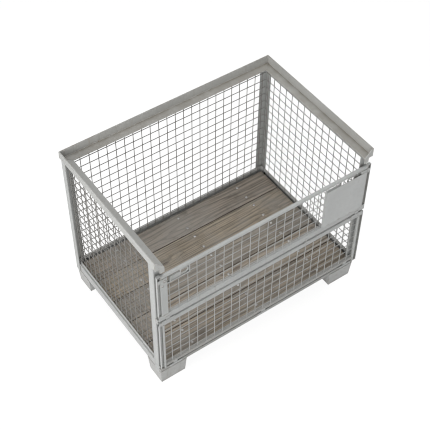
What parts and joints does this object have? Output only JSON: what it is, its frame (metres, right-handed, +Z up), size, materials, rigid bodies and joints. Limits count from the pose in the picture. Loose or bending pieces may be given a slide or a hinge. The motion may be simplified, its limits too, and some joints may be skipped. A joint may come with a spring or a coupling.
{
  "type": "gas cylinder cage",
  "caption": "Stackable steel wire-mesh cage for gas cylinders on hollow feet, with a wooden floor, an open top and a front that folds down as an upper and a lower flap with sliding latches.",
  "frame": {"origin": "on the ground under the middle of the cage's overall box", "axes": "+Z up; -Y out of the front with the two flaps; +X to the right of someone who faces the front"},
  "size_m": [1.24, 0.846, 0.97],
  "materials": {
    "grey_paint": "satin, lightly worn",
    "worn_paint": "matt, worn",
    "bare_steel": "dull zinc",
    "board_wood": "rough, weathered"
  },
  "bodies": {
    "frame": {"foot_front_left": "grey_paint", "foot_front_right": "grey_paint", "foot_back_left": "grey_paint", "foot_back_right": "grey_paint", "post_front_left": "grey_paint", "post_front_right": "grey_paint", "post_back_left": "grey_paint", "post_back_right": "grey_paint", "base_rail_front": "grey_paint", "base_rail_back": "grey_paint", "base_rail_left": "grey_paint", "base_rail_right": "grey_paint", "bearer_left": "worn_paint", "bearer_middle": "worn_paint", "bearer_right": "worn_paint", "floor_board_1": "board_wood", "floor_board_2": "board_wood", "floor_board_3": "board_wood", "floor_board_4": "board_wood", "floor_board_5": "board_wood", "floor_bolts": "bare_steel", "rim_left": "grey_paint", "rim_right": "grey_paint", "rim_back": "grey_paint", "rim_end_left": "grey_paint", "rim_end_right": "grey_paint", "mesh_bar_left": "grey_paint", "mesh_bar_right": "grey_paint", "mesh_bar_back": "grey_paint", "mesh_left": "grey_paint", "mesh_right": "grey_paint", "mesh_back": "grey_paint", "keeper_left": "grey_paint", "keeper_right": "grey_paint", "base_hinge_knuckles": "grey_paint", "base_hinge_pins": "bare_steel"},
    "lower_flap": {"lower_top_rail": "grey_paint", "lower_bottom_rail": "grey_paint", "lower_side_left": "grey_paint", "lower_side_right": "grey_paint", "lower_mesh": "grey_paint", "lower_hinge_knuckles": "grey_paint", "lower_mid_knuckles": "grey_paint", "mid_hinge_pins": "bare_steel", "lock_ear_left": "grey_paint", "lock_ear_right": "grey_paint"},
    "upper_flap": {"upper_top_tube": "grey_paint", "upper_bottom_rail": "grey_paint", "upper_side_left": "grey_paint", "upper_side_right": "grey_paint", "upper_mesh": "grey_paint", "sign_plate": "grey_paint", "latch_guide_left": "grey_paint", "latch_guide_right": "grey_paint", "upper_mid_knuckles": "grey_paint", "latch_studs": "bare_steel"},
    "latch_bolt_left": {"bolt_left": "worn_paint"},
    "latch_bolt_right": {"bolt_right": "worn_paint"},
    "flap_pin_left": {"lock_pin_left": "bare_steel"},
    "flap_pin_right": {"lock_pin_right": "bare_steel"}
  },
  "joints": [
    {"name": "lower_flap_hinge", "type": "hinge", "parent": "frame", "child": "lower_flap", "pos_m": [0, -0.418, 0.152], "axis": [1, 0, 0], "range_deg": [0, 100]},
    {"name": "upper_flap_hinge", "type": "hinge", "parent": "lower_flap", "child": "upper_flap", "pos_m": [0, -0.418, 0.5375], "axis": [1, 0, 0], "range_deg": [0, 180]},
    {"name": "latch_bolt_left_slide", "type": "slide", "parent": "upper_flap", "child": "latch_bolt_left", "axis": [-1, 0, 0], "range_m": [0, 0.049]},
    {"name": "latch_bolt_right_slide", "type": "slide", "parent": "upper_flap", "child": "latch_bolt_right", "axis": [1, 0, 0], "range_m": [-0.04, 0.009]},
    {"name": "flap_pin_left_slide", "type": "slide", "parent": "lower_flap", "child": "flap_pin_left", "axis": [-1, 0, 0], "range_m": [0, 0.007]},
    {"name": "flap_pin_right_slide", "type": "slide", "parent": "lower_flap", "child": "flap_pin_right", "axis": [1, 0, 0], "range_m": [0, 0.007]}
  ]
}
